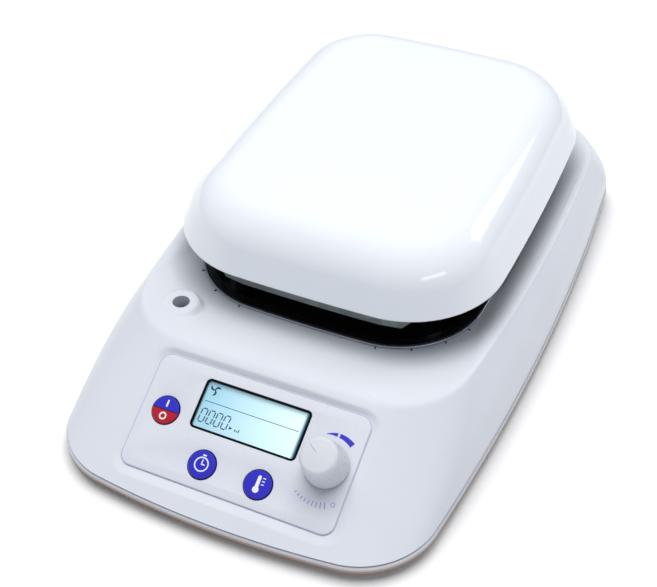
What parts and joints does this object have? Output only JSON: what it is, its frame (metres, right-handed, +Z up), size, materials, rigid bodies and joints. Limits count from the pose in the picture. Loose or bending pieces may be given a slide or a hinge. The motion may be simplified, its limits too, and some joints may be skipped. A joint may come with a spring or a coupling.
{
  "type": "magnetic stirrer",
  "caption": "Hotplate magnetic stirrer: glazed rounded plate over a sloped-front white housing with display, three buttons, push-turn knob, rod socket and rear mains inlet.",
  "frame": {"origin": "centre of the footprint at the level of the underside of the feet", "axes": "+Z up through the plate, -Y the front with the control panel, +X the user's right"},
  "size_m": [0.2118, 0.339, 0.0944],
  "materials": {
    "housing": "smooth moulded ABS, semi-gloss white",
    "glaze": "thick white high-gloss glaze",
    "black_enamel": "gloss black enamel",
    "trim_metal": "bright rolled edge",
    "tray_steel": "folded zinc-plated sheet",
    "socket_steel": "turned steel",
    "overlay_film": "satin printed film",
    "lcd_frame": "black",
    "lcd_glass": "clear window",
    "lcd_display": "backlit pale cyan display with dark segments",
    "power_cap": "upper half blue, lower half red",
    "blue_cap": "deep blue",
    "knob": "satin white, ribbed skirt",
    "black_plastic": "moulded black",
    "brass": "plated",
    "magnet": "nickel plated",
    "board": "green solder mask",
    "coil": "varnished winding and laminations",
    "relay_case": "blue case",
    "heater_mica": "mica heater sheet",
    "insulation": "mineral fibre felt",
    "foot_rubber": "matt"
  },
  "bodies": {
    "chassis": {"top_housing": "housing", "base_tray": "housing", "hotplate": "glaze", "heat_shield": "black_enamel", "shield_trim": "trim_metal", "plate_tray": "tray_steel", "plate_standoff_1": "tray_steel", "plate_standoff_2": "tray_steel", "plate_standoff_3": "tray_steel", "plate_standoff_4": "tray_steel", "motor_bracket": "tray_steel", "rod_socket": "socket_steel", "base_screw_1": "socket_steel", "base_screw_2": "socket_steel", "base_screw_3": "socket_steel", "base_screw_4": "socket_steel", "temperature_sensor": "socket_steel", "encoder_nut": "socket_steel", "drive_motor": "socket_steel", "control_overlay": "overlay_film", "lcd_bezel": "lcd_frame", "lcd_window": "lcd_glass", "lcd_module": "lcd_display", "power_switch": "black_plastic", "timer_switch": "black_plastic", "temp_switch": "black_plastic", "encoder_body": "black_plastic", "thermal_cutout": "black_plastic", "iec_inlet": "black_plastic", "filter_capacitor": "black_plastic", "encoder_bush": "brass", "inlet_pin_1": "brass", "inlet_pin_2": "brass", "inlet_pin_3": "brass", "control_pcb": "board", "power_board": "board", "transformer": "coil", "heater_relay": "relay_case", "heater_element": "heater_mica", "insulation_pad": "insulation", "foot_1": "foot_rubber", "foot_2": "foot_rubber", "foot_3": "foot_rubber", "foot_4": "foot_rubber"},
    "power_button": {"power_button": "power_cap"},
    "timer_button": {"timer_button": "blue_cap"},
    "temp_button": {"temp_button": "blue_cap"},
    "encoder_plunger": {"encoder_plunger": "socket_steel"},
    "knob": {"speed_knob": "knob", "encoder_shaft": "socket_steel"},
    "magnet_rotor": {"motor_shaft": "socket_steel", "magnet_carrier": "black_plastic", "magnet_1": "magnet", "magnet_2": "magnet"},
    "fuse_drawer": {"fuse_drawer": "black_plastic"}
  },
  "joints": [
    {"name": "power_button_press", "type": "slide", "parent": "chassis", "child": "power_button", "axis": [0, 0.4735, -0.8808], "range_m": [0, 0.0008], "stiffness_N_per_m": 900, "springref_m": -0.0006},
    {"name": "timer_button_press", "type": "slide", "parent": "chassis", "child": "timer_button", "axis": [0, 0.4735, -0.8808], "range_m": [0, 0.0008], "stiffness_N_per_m": 900, "springref_m": -0.0006},
    {"name": "temp_button_press", "type": "slide", "parent": "chassis", "child": "temp_button", "axis": [0, 0.4735, -0.8808], "range_m": [0, 0.0008], "stiffness_N_per_m": 900, "springref_m": -0.0006},
    {"name": "knob_push", "type": "slide", "parent": "chassis", "child": "encoder_plunger", "axis": [0, 0.4735, -0.8808], "range_m": [0, 0.0005], "stiffness_N_per_m": 1500, "springref_m": -0.0008},
    {"name": "knob_turn", "type": "hinge", "parent": "encoder_plunger", "child": "knob", "pos_m": [0.0422, -0.13057, 0.0303], "axis": [0, -0.4735, 0.8808], "continuous": true},
    {"name": "magnet_spin", "type": "hinge", "parent": "chassis", "child": "magnet_rotor", "pos_m": [0, 0.0433, 0.0575], "axis": [0, 0, 1], "continuous": true},
    {"name": "fuse_drawer_slide", "type": "slide", "parent": "chassis", "child": "fuse_drawer", "axis": [0, 1, 0], "range_m": [0, 0.015]}
  ]
}
